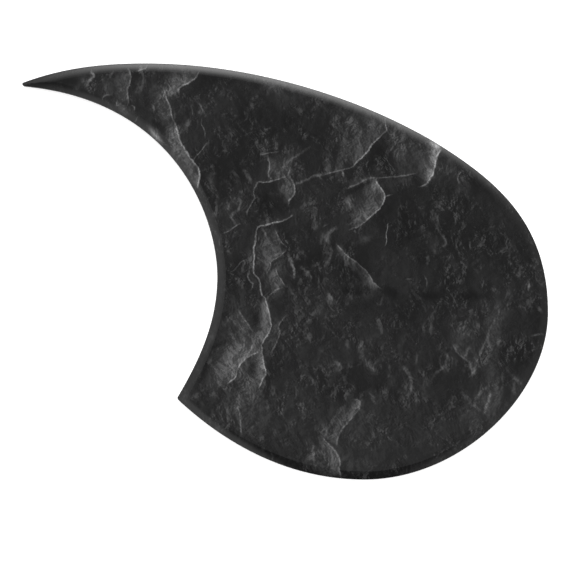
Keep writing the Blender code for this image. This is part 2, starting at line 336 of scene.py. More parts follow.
    (0.26, 0.2, 0.22, -1.8, [(65.5, -22), (64.5, -24), (63.5, -26.5), (62.5, -28.5), (62, -31),
                             (60.8, -33.8)]),
    (0.22, 0.22, 0.22, 2.2, [(54.5, -24), (55.6, -25.8), (57, -27.5), (58.5, -28.5), (60, -30),
                             (60.5, -32), (60.8, -34)]),
    (0.3, 0.25, 0.0, 1.0, [(60, -24.5), (59, -26), (58.5, -28)]),
    (0.5, 0.15, 0.0, 1.0, [(69, -21), (69.5, -24)]),
    (0.4, 0.18, 0.05, 1.2, [(73.5, -33.5), (75.5, -35.5), (77, -37)]),
    (0.4, 0.15, 0.0, 1.0, [(74.5, -36), (74.3, -40)]),
    (0.4, 0.2, 0.1, 1.2, [(66, -37), (64, -39), (62, -41), (61.5, -44)]),
    (0.6, 0.38, 0.2, 1.4, [(66.6, -39.5), (66, -42), (65, -44.5), (64.5, -46.5)]),
    (0.35, 0.18, 0.0, 1.0, [(72, -31), (72.5, -33)]),
    (0.25, 0.2, 0.0, 1.0, [(80, -21), (82, -20.4), (84, -20.6)]),
]

# Soft patches, in mm: middle, half length, half width, way it lies in degrees, lightness (below 0 is dark)
# painted light: the light patches lying along the top edge and turned with it make a lighter band just
# inside that edge
patches = [
    (-74, 61.6, 6, 0.8, 0, -0.5), (-71, 62, 3.5, 1.4, 0, -0.35), (-67.7, 59.4, 0.7, 0.6, 0, 0.3),
    (-56.5, 56.3, 1.4, 1.2, 0, -0.45), (-52.5, 58, 4.5, 1.4, 90, 0.22), (-47.5, 66, 2.6, 0.9, 0, 0.25),
    (-52, 52.8, 3, 1.2, -30, 0.5), (-36.4, 58.2, 1.9, 1.5, 0, 0.3), (-67, 61, 1.5, 1, 60, 0.25),
    (-42.8, 45.4, 1.9, 1, -35, 1), (-41.6, 43.6, 1.8, 0.7, -48, 2.2), (-34, 62.5, 4.6, 2.6, 35, 0.28),
    (-30, 58, 3.5, 2.2, 35, -0.4), (-39, 54, 6, 1.5, 85, 0.22), (-36, 44, 4.6, 1.2, 100, 0.55),
    (-33.4, 37.8, 2.6, 1.1, 125, 0.45), (-29.8, 31.5, 4.4, 0.8, 112, 0.5), (-23.5, 29, 3, 1.4, 85, 0.35),
    (-23.3, 18.5, 0.8, 0.7, 0, 0.45), (-6, 41.5, 1.7, 1, 80, 0.25), (-1.5, 33.5, 4.2, 3.2, 60, 0.32),
    (-0.5, 33, 2.4, 1.8, 70, 0.3), (0, 26, 3.2, 2, 0, 0.28), (18, 37, 6, 1.3, 80, 0.22),
    (13.5, 34, 2.5, 0.9, 85, 0.18), (24, 41, 5.5, 4, 55, 0.2), (28.8, 48, 1.2, 0.6, 100, 0.6),
    (4, 20, 3.4, 2.4, 40, 0.16), (36.5, 39, 3.4, 2.2, 100, 0.22), (31, 38.5, 4.5, 2, 110, -0.4),
    (33, 34, 3, 1.4, 140, -0.4), (43.5, 38.5, 5.5, 3.2, 110, 0.16), (47.2, 35, 4.6, 1.2, 80, 0.5),
    (46.8, 31.5, 1.8, 0.9, 70, 0.45), (48.5, 39.2, 1.8, 1, 75, 1.8), (48.8, 41.1, 1.3, 0.8, -30, 4),
    (53.2, 36, 1.4, 0.6, 70, 0.22), (57, 26.5, 3.6, 2.6, 60, 0.14), (29, 27.6, 1.9, 1.3, 60, 0.5),
    (27.5, 23, 4.2, 3.2, 60, 0.34), (25.5, 18, 3.4, 1.8, 55, 0.3), (20.8, 22.4, 2, 1, 75, 0.75),
    (23.5, 18, 3, 1.2, 70, 0.28), (30, 33.8, 1.4, 1, 60, 0.25), (26, 29.6, 2.6, 1, 25, 0.22),
    (23.5, 27, 4.4, 0.6, 25, -0.4), (26, 10.4, 1.9, 1.2, 20, 0.3), (30, 12.5, 2.6, 1.6, 100, 0.16),
    (18.7, 6.4, 1.8, 1, 125, 0.5), (21.5, 2.4, 2.2, 1.2, 130, 0.28), (27.6, -3, 2.2, 1.2, 118, 0.48),
    (22, 9, 0.7, 0.4, 20, 0.25), (48, 9.5, 3.2, 1.4, 105, 0.26), (49, 6.5, 0.9, 0.7, 0, 0.28),
    (54.7, 2.8, 2.4, 1.1, 110, 0.3), (62.8, 3.7, 1.5, 0.8, 120, 0.2), (44.3, 13, 1.9, 1.1, 110, 0.18),
    (73.2, 3, 0.9, 0.5, 115, 0.25), (67.9, -2.7, 1.4, 0.9, 100, 0.14), (78.6, 10.3, 1, 0.8, 0, 0.3),
    (78.7, 13, 2.4, 1.1, 60, 0.18), (81, 1.5, 0.9, 0.7, 0, 0.3), (80.6, 6, 0.8, 0.6, 0, 0.2),
    (23.5, -6.3, 5.5, 1.3, 0, -0.55), (34.5, -6.8, 3, 1.6, -30, -0.5), (47, -8, 3.6, 1.7, -15, -0.5),
    (44.5, 3.8, 3.2, 1.9, 0, -0.35), (60, -8, 7, 1.4, 0, -0.4), (76, -6.5, 3.2, 2, 80, -0.3),
    (14.2, -9.3, 2, 1.1, 120, 0.42), (11.3, -13, 2.4, 1.5, 110, 0.4), (17.3, -12, 1.5, 0.7, 60, 0.18),
    (-5.2, 8, 5.5, 3.2, 75, 0.34), (-3, -3, 3.4, 2, 110, 0.36), (-15.5, -27, 8.5, 4.4, 55, 0.56),
    (-19, -30.5, 4.4, 2.2, 62, 0.5), (-22.3, -35.5, 3.8, 1.6, 75, 0.42),
    (-11.6, -38.5, 5, 2.6, 110, 0.5), (-13.5, -24.3, 3.4, 1.6, 55, 0.38),
    (-9.2, -22.5, 2.6, 1.1, 70, 0.65), (-8, -31, 4.6, 1.2, 96, 0.5), (-13.8, -17.5, 2.4, 1.3, 110, 0.3),
    (-19.3, -16.6, 1.6, 0.9, 50, 0.3), (-16.5, -43, 5, 3, 60, 0.16), (-12, -51, 6, 4, 80, 0.14),
    (-21, -23.6, 3.4, 0.5, 22, -0.45), (-26, -31, 5.5, 0.7, 72, -0.5), (-24, -21.2, 1.4, 0.8, 40, 0.3),
    (-32, -40.2, 2.2, 1.3, -30, 0.22), (-15, -49, 5, 1.1, 95, 0.14), (-8, -46, 6.5, 3.5, 105, 0.09),
    (-21.5, -51, 1.4, 0.8, 60, 0.18), (14, -58.8, 3.8, 2.2, 110, 0.28), (15.5, -59.2, 2, 1.1, 115, 0.25),
    (21.5, -45, 4.4, 1.8, 55, 0.24), (23, -50, 6.5, 3.6, 75, 0.08), (16, -31, 2.6, 1.7, 0, 0.14),
    (30.5, -21.5, 2.8, 2.2, 0, 0.1), (28.5, -40.5, 2.6, 1, 115, 0.16), (46, -38, 3.5, 2.4, 115, 0.07),
    (50.6, -9.5, 1.1, 0.8, 0, 0.32), (53.8, -10, 1.1, 0.7, -50, 0.2), (68, -15.5, 5.6, 3, 80, 0.3),
    (66.5, -24, 3.5, 1.6, 75, 0.2), (58.5, -18.5, 4.6, 2.6, 80, 0.2), (55.3, -21.3, 1.3, 0.9, 70, 0.16),
    (55.2, -24.2, 1, 0.7, 0, 0.28), (61, -31, 2.4, 1.3, 80, 0.2), (67.6, -30, 5, 1.8, 95, 0.15),
    (69.3, -40, 4.2, 1.5, 95, 0.18), (63.5, -42, 4.4, 2.2, 75, 0.16), (62, -49.5, 2.6, 1.3, 50, 0.22),
    # painted light: the patches at (34, 46), (20, 50) and (-4, 61) lie along the top edge and lighten the
    # face just inside it
    (76, -37, 3, 1.4, 110, 0.14), (34, 46, 7, 3.5, -30, 0.16), (20, 50, 9, 3.5, -18, 0.1),
    (-4, 61, 8, 3.5, -10, 0.12), (-47, 60, 3, 2, 80, 0.14), (-57, 61, 4, 2, 20, 0.1),
    (37, 39, 5, 4, 90, 0.08), (56, 31.5, 4, 2, -40, 0.1), (68, -32, 8, 5, 95, 0.09),
    (65, -42, 7, 5, 80, 0.1), (58, -20, 5, 4, 90, 0.06), (8, -60, 4, 3, 100, 0.14),
    (-9.4, -14.5, 4.2, 1.3, 84, -0.55), (-10.5, -31.5, 2.2, 1.5, 70, -0.2), (8, -46, 20, 13, 0, 0.07),
    (42, -46, 24, 12, 10, 0.08), (8, -22, 13, 9, 0, 0.06), (40, -24, 16, 10, 0, 0.05),
    (-17, -48, 9, 6, -35, 0.12), (14, -62, 8, 3.5, 0, 0.12), (64, -46, 7, 4, 50, 0.1),
    (20, 1, 9, 4, 150, -0.22), (3, -1, 5, 3, 90, -0.18), (-13, 40, 7, 5, 30, -0.14),
    (-8, 23, 3, 4, 90, -0.25), (24, -11, 8, 2.6, 0, -0.16), (-2, 4, 2.4, 4.5, 0, 0.12),
    (28, -63, 9, 2, 0, 0.08), (22, 0, 6, 4, 130, -0.06), (-4, 0, 6, 4, 90, 0.1), (5, -4, 5, 2, 10, -0.2),
    (62, 14, 9, 5, 100, -0.22), (38, 14, 5, 4, 90, -0.2), (51, 26.5, 6, 2.2, 30, -0.3),
    (40, 22, 6, 5, 90, -0.12), (-35, 41, 5, 4, 118, 0.08), (37, 52, 6, 3, -32, 0.09),
    (53, 31, 8, 4, -40, 0.1), (-4, 0, 5, 5, 0, 0.1), (-15, -11, 5, 5, 0, 0.1), (-4, -21, 4, 5, 0, 0.08),
    (-15, -32, 6, 5, 0, 0.12), (-15, -42, 6, 5, 0, 0.1), (17, -63, 6, 3, 0, 0.1),
    (-15, 31, 6, 5, 0, -0.3), (-4, 21, 5, 5, 0, -0.32), (22, 0, 9, 5, 0, -0.3), (37, 10, 6, 5, 0, -0.28),
    (37, -16, 6, 9, 0, -0.24), (58, -11, 5, 5, 0, -0.22), (74, 10, 9, 5, 0, -0.22),
    # painted light: the patches at (8, 59) and (38, 45) lie along the top edge and lighten the face just
    # inside it
    (8, 59, 22, 4.5, -16, 0.16), (38, 45, 12, 4, -32, 0.08), (-6.6, -14.5, 5, 1.1, 82, 0.35),
    (-18.5, 21.5, 3.2, 2.2, 60, 0.22), (13.2, 11, 1.8, 1, 100, 0.55), (37, 30, 5, 4, 0, 0.18),
    (-15, -11, 4, 5, 0, 0.08), (-4, -52, 5, 5, 0, 0.08), (-15, -54, 5, 4, 0, -0.12),
    (-23, 63, 7, 3, -12, -0.22), (17, 10, 6, 4, 0, 0.08), (-25, -21, 4, 5, 0, 0.1),
    (78, -22, 4, 5, 0, 0.08), (79, 21, 5, 3, -60, 0.06), (-25, 62, 8, 3, -10, -0.2),
    (-26, 22, 4, 5, 0, -0.14), (27, 21, 5, 5, 0, -0.1), (6, -15, 5, 8, 0, -0.16),
    (27, -12, 6, 4, 0, -0.16), (27, -34, 5, 8, 0, -0.1), (58, -36, 6, 6, 0, -0.16),
    (-2, 10, 2, 3, 90, -0.1), (6, 12, 5, 3.5, 80, -0.22), (-22, 50, 6, 5, 90, -0.1),
    (55, -37, 7, 5, 90, -0.1), (20, -14, 5, 3, 0, -0.08), (76, -25, 5, 2.5, 90, -0.05),
]

patternSizes = {
    "layers": 5,  # neighbouring veins go to different layers
    "step": 0.4,  # mm between points along a vein
    "taper": 1.6,  # mm over which a vein's end fades
    "endFade": 0.35,  # what is left of a vein at its very end
    "coreReach": 2.4,  # mm from a vein's middle past which it counts for nothing
    "glowReaches": 3,  # a glow is followed for this many of its reaches
    "darkSide": -1.0,  # mm that a glow may pass to a vein's dark side
    "sideLimit": 12.0,
    "far": 1000.0,
    "faint": 0.30,  # veins below this brightness are wider and softer
    "faintSpread": 2.0,
    "patchFall": 0.9,
}


def smoothLine(points, step):
    # a Catmull-Rom curve through the points
    knots = np.array(points, float)
    knots = np.vstack([2 * knots[0] - knots[1], knots, 2 * knots[-1] - knots[-2]])
    line = []
    for a, b, c, d in zip(knots, knots[1:], knots[2:], knots[3:]):
        count = max(1, round(np.hypot(*(c - b)) / step))
        for t in np.arange(count) / count:
            line.append(0.5 * (2 * b + (c - a) * t + (2 * a - 5 * b + 4 * c - d) * t * t
                               + (3 * b - a - 3 * c + d) * t**3))
    return np.array(line + [knots[-2]])


def alongLine(points, line):
    # for each point: signed distance from the line (left is plus) and distance from its nearer end
    start, ahead = line[:-1], np.diff(line, axis=0)
    length = np.hypot(*ahead.T)
    before = np.concatenate([[0], np.cumsum(length)])
    reach = points[:, None, :] - start
    share = (reach * ahead).sum(-1) / length**2
    held = np.clip(share, 0, 1)
    away = np.linalg.norm(reach - held[..., None] * ahead, axis=-1)
    across = (ahead[:, 0] * reach[..., 1] - ahead[:, 1] * reach[..., 0]) / length
    nearest = np.argmin(away - 0.001 * np.abs(across), axis=1)
    rows = np.arange(len(points))
    along = before[nearest] + share[rows, nearest] * length[nearest]
    side = np.where(across[rows, nearest] < 0, -1, 1) * away[rows, nearest]
    return side, np.minimum(along, before[-1] - along)


def dealVeins(lines, count):
    # each vein goes to the layer whose veins are furthest from it
    layers = [[] for _ in range(count)]
    for k, line in enumerate(lines):
        room = []
        for layer in layers:
            gaps = [np.linalg.norm(line[:, None] - lines[j][None], axis=-1).min() for j in layer]
            room.append(min(gaps, default=patternSizes["far"]))
        layers[int(np.argmax(room))].append(k)
    return layers


def veinLayer(places, lines, layer):
    # for each place: side distance in half widths, the vein's own light and the glow beside it
    s = patternSizes
    found = np.zeros((len(places), 3))
    found[:, 0] = s["sideLimit"]
    nearest = np.full(len(places), s["far"])
    for k in layer:
        half, bright, glow, reach, _ = veins[k]
        if bright < s["faint"]:
            half *= s["faintSpread"]
        margin = s["glowReaches"] * abs(reach) + s["coreReach"]
        low, high = lines[k].min(axis=0) - margin, lines[k].max(axis=0) + margin
        near = np.flatnonzero(((places > low) & (places < high)).all(axis=1))
        side, fromEnd = alongLine(places[near], lines[k])
        away = np.abs(side)
        closer = away < nearest[near]
        near, side, fromEnd, away = near[closer], side[closer], fromEnd[closer], away[closer]
        nearest[near] = away
        side = side * np.sign(reach)
        fade = np.clip(fromEnd / s["taper"] + s["endFade"], 0, 1)
        core = bright * fade * np.clip(2 * (1 - away / s["coreReach"]), 0, 1)
        spread = np.exp(-np.maximum(side, 0) / abs(reach)) * np.clip(fromEnd / s["taper"], 0, 1)
        light = glow * spread * (side > s["darkSide"])
        side = np.clip(side / half, -s["sideLimit"], s["sideLimit"])
        found[near] = np.column_stack([side, core, light])
    return found


def addPattern(mesh):
    s = patternSizes
    places = np.empty(len(mesh.vertices) * 3, np.float32)
    mesh.vertices.foreach_get("co", places)
    places = places.reshape(-1, 3)[:, :2].astype(float) / mm
    lines = [smoothLine(vein[4], s["step"]) for vein in veins]
    for number, layer in enumerate(dealVeins(lines, s["layers"])):
        attribute = mesh.attributes.new(f"veins{number}", "FLOAT_VECTOR", "POINT")
        attribute.data.foreach_set("vector", veinLayer(places, lines, layer).astype(np.float32).ravel())
    # tone holds the stone's patches and the painted light along the top edge
    tone = np.zeros(len(places))
    for x, y, long, wide, turn, lightness in patches:
        reach = places - (x, y)
        u, v = reach @ heading(turn) / long, reach @ heading(turn + 90) / wide
        tone += lightness * np.exp(-s["patchFall"] * (u * u + v * v))
    attribute = mesh.attributes.new("tone", "FLOAT", "POINT")
    attribute.data.foreach_set("value", tone.astype(np.float32))
    edge = distanceTo(places * mm, outline) / mm
    attribute = mesh.attributes.new("edge", "FLOAT", "POINT")
    attribute.data.foreach_set("value", edge.astype(np.float32))
    print("pattern:", len(veins), "veins and", len(patches), "patches")


class Value:
    # a number in the shader: sums on it add Math nodes
    def __init__(self, maker, socket):
        self.maker = maker
        self.socket = socket

    def __add__(self, other):
        return self.maker.maths("ADD", self, other)

    def __sub__(self, other):
        return self.maker.maths("SUBTRACT", self, other)

    def __rsub__(self, other):
        return self.maker.maths("SUBTRACT", other, self)

    def __mul__(self, other):
        return self.maker.maths("MULTIPLY", self, other)

    def __pow__(self, other):
        return self.maker.maths("POWER", self, other)

    def __abs__(self):
        return self.maker.maths("ABSOLUTE", self)

    __radd__ = __add__
    __rmul__ = __mul__


class Maker:
    # adds nodes to one material or world
    def __init__(self, owner):
        owner.use_nodes = True
        self.owner = owner
        self.nodes = owner.node_tree.nodes
        self.links = owner.node_tree.links

    def set(self, node, sockets):
        for name, value in sockets.items():
            if isinstance(value, Value):
                self.links.new(value.socket, node.inputs[name])
            else:
                node.inputs[name].default_value = value

    def add(self, kind, settings=None, sockets=None, out=0):
        # settings first, then the sockets; out picks the output, by number or name
        node = self.nodes.new(kind)
        for name, value in (settings or {}).items():
            setattr(node, name, value)
        self.set(node, sockets or {})
        return Value(self, node.outputs[out])

    def maths(self, operation, a, b=0.0, clamp=False):
        return self.add("ShaderNodeMath", {"operation": operation, "use_clamp": clamp}, {0: a, 1: b})

    def noise(self, place, scale, detail=2.0, rough=0.5, twist=0.0):
        return self.add("ShaderNodeTexNoise", {"noise_dimensions": "3D"},
                        {"Vector": place, "Scale": scale, "Detail": detail, "Roughness": rough,
                         "Distortion": twist})

    def cells(self, place, scale):
        return self.add("ShaderNodeTexVoronoi", {"feature": "F1"}, {"Vector": place, "Scale": scale},
                        "Distance")

    def placeInMm(self):
        place = self.add("ShaderNodeTexCoord", out="Object")
        return self.mapped(place, (1 / mm, 1 / mm, 1 / mm))

    def mapped(self, place, scale=(1, 1, 1), turn=0.0, shift=(0, 0, 0)):
        # turned first, then scaled along the turned axes
        turned = self.add("ShaderNodeMapping", {},
                          {"Vector": place, "Rotation": (0, 0, math.radians(turn)), "Location": shift})
        return self.add("ShaderNodeMapping", {}, {"Vector": turned, "Scale": scale})

    def ease(self, value, low, high, start=0.0, end=1.0):
        return self.add("ShaderNodeMapRange", {"interpolation_type": "SMOOTHSTEP"},
                        {"Value": value, "From Min": low, "From Max": high, "To Min": start, "To Max": end})

    def attribute(self, name, out="Fac"):
        return self.add("ShaderNodeAttribute", {"attribute_name": name}, out=out)

    def split(self, vector):
        x = self.add("ShaderNodeSeparateXYZ", {}, {0: vector})
        return [Value(self, socket) for socket in x.socket.node.outputs]

    def blend(self, factor, a, b):
        # colour a where factor is 0, colour b where it is 1
        colours = [c if isinstance(c, Value) else (*c, 1.0) for c in (a, b)]
        return self.add("ShaderNodeMix", {"data_type": "RGBA"},
                        {0: factor, 6: colours[0], 7: colours[1]}, out=2)

    def bump(self, height, strength, distance):
        return self.add("ShaderNodeBump", {},
                        {"Height": height, "Strength": strength, "Distance": distance})

    def finish(self, **sockets):
        shader = self.nodes["Principled BSDF"]
        self.set(shader, {name.replace("_", " "): value for name, value in sockets.items()})
        return self.owner


slateFinish = {
    "stone": 0.0128,  # linear lightness of the plain stone
    "mottle": 0.55,
    "mediumMottle": 0.5,
    "relief": 0.85,  # how much the small relief lightens and darkens the stone
    "calm": 0.35,  # the share of that relief that smooth places keep
    "flat": 0.42,  # how chipped level stone counts, from 0 to 1
    "even": 0.45,  # stone chipped this much is neither lightened nor darkened
    "streak": 0.034,
    "core": 0.175,  # lightness of a vein's middle
    "coreLit": (0.38, 1.15),  # the part of it that is always there, and the part that chips bring
    "coreEdge": (0.30, 1.25),  # half widths between which a vein fades out
    "glow": 0.125,
    "glowEdge": (-0.7, 0.4),
    "patch": 0.115,
    "softLit": (0.24, 0.62),  # as coreLit, for glows and patches
    "erosion": 0.45,
    "wander": 3.0,  # how far a vein's sides wander, in half widths
    "ledges": 16.0,  # steps in the chipped relief
    "ledgeLight": 0.28,
    "grainLight": 1.9,
    "nearSlope": (0.45, 6.0),  # mm over which the relief's slope is taken, and its strength
    "wideSlope": (1.5, 2.4),
    "slopeLean": -0.16,  # the light on the relief comes from the left and a little above
    "splitTurn": -24,  # degrees that bring the way the slate splits onto Y
    "splitStretch": (1.0, 0.76, 1.0),
    "grainTurn": 14,
    "grainStretch": (1.0, 0.7, 1.0),
    "darkReach": 0.55,
    "darkest": 0.50,
    "edgeShade": 0.08,  # painted shade: a darker line just inside the bevel
    "bevelShade": 0.36,  # painted shade: the plain stone is this much darker on the bevel
    "blueness": 1.01,
    "roughness": 0.11,
    "roughPatches": 0.05,
    "roughChips": 0.04,
    "ior": 1.47,
    "bump": (0.15, 0.2 * mm),  # strength and depth
    # noises: scale in features per mm, detail, roughness, distortion
    "broadNoise": (0.045, 3, 0.55),
    "mediumNoise": (0.16, 4, 0.6, 0.6),
    "reliefNoise": (0.20, 7, 0.68, 0.35),
    "fineNoise": (1.3, 3, 0.7, 0.6),
    "wanderNoise": (0.70, 4, 0.7),
    "waveNoise": (0.09, 2, 0.5),
}


def slateMaterial():
    s = slateFinish
    m = Maker(bpy.data.materials.new("glossySlate"))
    place = m.placeInMm()
    broad = m.noise(place, *s["broadNoise"])
    medium = m.noise(place, *s["mediumNoise"])

    def reliefAt(shift):
        # chipped stone: a rough height, drawn out along the way the slate splits
        moved = m.mapped(place, shift=(shift, s["slopeLean"] * shift, 0))
        leaning = m.mapped(moved, s["splitStretch"], turn=s["splitTurn"])
        return m.noise(leaning, *s["reliefNoise"])

    here = reliefAt(0.0)
    # a rise to the right is light
    slopes = [(reliefAt(reach) - here) * strength for reach, strength in (s["nearSlope"], s["wideSlope"])]
    terrace = m.maths("FRACT", here * s["ledges"]) - 0.5
    fine = m.noise(m.mapped(place, s["grainStretch"], turn=s["grainTurn"]), *s["fineNoise"])
    relief = slopes[0] + slopes[1] + terrace * s["ledgeLight"] + (fine - 0.5) * s["grainLight"]
    chips = m.maths("ADD", relief, s["flat"], clamp=True)
    always, chipped = s["softLit"]
    lit = chips * chipped + always

    # tone: the stone's patches, and the painted light along the top edge
    tone = m.attribute("tone")
    light = m.maths("MAXIMUM", tone, 0.0) * lit * s["patch"]
    dark = m.ease(tone * -1, 0.0, s["darkReach"], 1.0, s["darkest"])
    erosion = m.ease(fine, 0.30, 0.72) * s["erosion"]
    wobble = (m.noise(place, *s["wanderNoise"]) - 0.5) * s["wander"]
    always, chipped = s["coreLit"]
    for k in range(patternSizes["layers"]):
        side, core, glow = m.split(m.attribute(f"veins{k}", "Vector"))
        side = side + wobble
        line = m.ease(abs(side) + erosion, *s["coreEdge"], 1.0, 0.0) * core * (always + chips * chipped)
        beside = m.ease(side, *s["glowEdge"]) * glow * lit
        light = light + line * s["core"] + beside * s["glow"]

    stone = s["stone"] * (1 - s["mottle"] * 0.5 + m.ease(broad, 0.32, 0.68) * s["mottle"]
                          + (medium - 0.5) * s["mediumMottle"])
    lively = m.ease(medium, 0.38, 0.62)
    stone = stone * (1 + (chips - s["even"]) * (s["calm"] + lively * (1 - s["calm"])) * s["relief"])
    streaks = m.ease(chips, 0.55, 1.0) * m.ease(medium, 0.46, 0.66)
    edge = m.attribute("edge")
    # painted shade: the plain stone is darkened on the bevel
    base = (stone + streaks * s["streak"]) * m.ease(edge, 2.5, 3.1, 1 - s["bevelShade"], 1.0)
    # painted shade: a darker line just inside the bevel, scaled by edgeShade
    rim = m.ease(edge, 2.9, 3.6) * m.ease(edge, 4.6, 3.9)
    shade = (base + light) * dark * (1 - rim * s["edgeShade"])
    colour = m.add("ShaderNodeCombineColor", {},
                   {"Red": shade, "Green": shade, "Blue": shade * s["blueness"]})
    height = m.noise(place, *s["waveNoise"]) * 0.6 + chips * 0.03
    rough = m.ease(medium, 0.36, 0.64)
    return m.finish(Base_Color=colour,
                    Roughness=s["roughness"] + rough * s["roughPatches"] + chips * s["roughChips"],
                    IOR=s["ior"], Normal=m.bump(height, *s["bump"]))


baseFinish = {
    "black": (0.010, 0.010, 0.011),
    "sawn": (0.024, 0.024, 0.025),  # lighter saw marks
    "dusty": (0.032, 0.032, 0.033),
    "dust": 0.35,
    "roughness": 0.34,
    "sawRoughness": 0.22,
    "bump": (0.35, 0.08 * mm),
    "sawStretch": (0.35, 0.35, 9.0),
    "sawNoise": (1.0, 3, 0.6),
    "cloudNoise": (0.12, 3, 0.6),
    "gritNoise": (2.5, 2, 0.5),
}


def baseMaterial():
    s = baseFinish
    m = Maker(bpy.data.materials.new("blackBase"))
    place = m.placeInMm()
    saw = m.noise(m.mapped(place, s["sawStretch"]), *s["sawNoise"])
    cloud = m.noise(place, *s["cloudNoise"])
    colour = m.blend(m.ease(saw, 0.35, 0.7), s["black"], s["sawn"])
    colour = m.blend(m.ease(cloud, 0.4, 0.65) * s["dust"], colour, s["dusty"])
    height = saw * 0.8 + m.noise(place, *s["gritNoise"]) * 0.3
    return m.finish(Base_Color=colour, Roughness=s["roughness"] + saw * s["sawRoughness"],
                    Normal=m.bump(height, *s["bump"]))


adhesiveFinish = {
    "film": (0.55, 0.53, 0.46),
    "streaked": (0.68, 0.66, 0.60),
    "bubble": (0.80, 0.79, 0.75),
    "bubbleScale": 0.55,
    "bubbleRim": (0.10, 0.22),
    "roughness": 0.30,
    "streakRoughness": 0.15,
    "bump": (0.3, 0.05 * mm),
    "streakTurn": 4,
    "streakStretch": (1.0, 0.12, 1.0),
    "streakNoise": (0.35, 3, 0.6),
}


def adhesiveMaterial():
    s = adhesiveFinish
    m = Maker(bpy.data.materials.new("adhesive"))
    place = m.placeInMm()
    streak = m.noise(m.mapped(place, s["streakStretch"], turn=s["streakTurn"]), *s["streakNoise"])
    bubbles = m.ease(m.cells(place, s["bubbleScale"]), *s["bubbleRim"], 1.0, 0.0)
    colour = m.blend(m.ease(streak, 0.35, 0.65), s["film"], s["streaked"])
    colour = m.blend(bubbles * 0.5, colour, s["bubble"])
    return m.finish(Base_Color=colour, Roughness=s["roughness"] + streak * s["streakRoughness"],
                    Normal=m.bump(bubbles * 0.5 + streak * 0.4, *s["bump"]))


paperFinish = {
    "pulp": (0.60, 0.55, 0.44),
    "pale": (0.72, 0.67, 0.56),
    "hair": (0.50, 0.44, 0.33),
    "speck": (0.38, 0.31, 0.22),
    "speckScale": 0.4,
    "speckRim": (0.05, 0.10),
    "roughness": 0.62,
    "hairRoughness": 0.12,
    "bump": (0.35, 0.04 * mm),
    "pulpNoise": (0.35, 4, 0.65),
    "hairTurn": 8,
    "hairStretch": (0.9, 0.16, 1.0),
    "hairNoise": (1.1, 3, 0.6, 1.2),
    "hairThinness": 7.0,
}


def paperMaterial():
    s = paperFinish
    m = Maker(bpy.data.materials.new("linerPaper"))
    place = m.placeInMm()
    pulp = m.noise(place, *s["pulpNoise"])
    threads = m.noise(m.mapped(place, s["hairStretch"], turn=s["hairTurn"]), *s["hairNoise"])
    hairs = m.maths("MAXIMUM", 1 - abs(threads - 0.5) * s["hairThinness"], 0.0)
    specks = m.ease(m.cells(place, s["speckScale"]), *s["speckRim"], 1.0, 0.0)
    colour = m.blend(m.ease(pulp, 0.3, 0.7), s["pulp"], s["pale"])
    colour = m.blend(hairs * 0.40, colour, s["hair"])
    colour = m.blend(specks * 0.6, colour, s["speck"])
    return m.finish(Base_Color=colour, Roughness=s["roughness"] + hairs * s["hairRoughness"],
                    Normal=m.bump(pulp * 0.5 + hairs * 0.4, *s["bump"]))


def addPiece(name, shape, material, body, node):
    mesh = bpy.data.meshes.new(name)
    shape.to_mesh(mesh)
    shape.free()
    mesh.materials.append(material)
    for face in mesh.polygons:
        face.use_smooth = True
    piece = bpy.data.objects.new(name, mesh)
    bpy.context.scene.collection.objects.link(piece)
    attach(piece, body)
    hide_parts(node)
    print(f"{name}: {len(mesh.polygons)} faces")
    return piece


faceSizes = {
    "bevelWidth": 2.8 * mm,
    "bevelDrop": 1.0 * mm,
    "bevelRings": 8,
    "fullness": 0.55,  # 0 is a straight chamfer; above that the bevel is rounder towards its outer edge
    "grid": 0.55 * mm,
}


def makeFace():
    s = faceSizes
    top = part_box("slate_face")[1].z
    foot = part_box("base_ply")[1].z
    rings = [(0.0, foot), (0.0, top - s["bevelDrop"])]
    for k in range(1, s["bevelRings"] + 1):
        share = k / s["bevelRings"]
        risen = (1 + s["fullness"]) * share - s["fullness"] * share * share
        rings.append((share * s["bevelWidth"], top - (1 - risen) * s["bevelDrop"]))
    shape = bevelledSheet(rings, sharpAfter=(1, len(rings) - 1))
    sliceLid(shape, top, s["grid"])
    cutLargeFaces(shape)
    piece = addPiece("slateFace", shape, slateMaterial(), "guard", "slate_face")
    addPattern(piece.data)


baseSizes = {"rounding": 0.06 * mm}


def makeBase():
    top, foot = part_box("base_ply")[1].z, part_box("adhesive_film")[1].z
    rounding = baseSizes["rounding"]
    rings = [(rounding, foot), (0.0, foot + rounding), (0.0, top)]
    shape = bevelledSheet(rings, sharpAfter=(0, 1, 2))
    addPiece("basePly", shape, baseMaterial(), "guard", "base_ply")


filmSizes = {"inset": 1.5 * mm, "gap": 0.02 * mm}


def makeFilm():
    top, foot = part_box("adhesive_film")[1].z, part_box("liner_main")[1].z + filmSizes["gap"]
    shape = bevelledSheet([(filmSizes["inset"], foot), (filmSizes["inset"], top)], sharpAfter=(0, 1))
    addPiece("adhesiveFilm", shape, adhesiveMaterial(), "guard", "adhesive_film")


linerSizes = {"inset": 0.4 * mm}


def makeLiner(name, node, body, paper, keepLeft):
    low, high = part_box(node)
    shape = bevelledSheet([(linerSizes["inset"], low.z), (linerSizes["inset"], high.z)], sharpAfter=(0, 1))
    cutLargeFaces(shape)
    slit = high.x if keepLeft else low.x
    cut = bmesh.ops.bisect_plane(
        shape, geom=shape.verts[:] + shape.edges[:] + shape.faces[:], dist=meshSizes["merge"],
        plane_co=(slit, 0, 0), plane_no=(1, 0, 0), clear_outer=keepLeft, clear_inner=not keepLeft)
    rim = [item for item in cut["geom_cut"] if isinstance(item, bmesh.types.BMEdge)]
    bmesh.ops.holes_fill(shape, edges=rim)
    for edge in rim:
        edge.smooth = False
    faceOutwards(shape)
    addPiece(name, shape, paper, body, node)


makeFace()
makeBase()
makeFilm()
paper = paperMaterial()
makeLiner("linerMain", "liner_main", "liner", paper, keepLeft=True)
makeLiner("linerStrip", "liner_strip", "strip", paper, keepLeft=False)


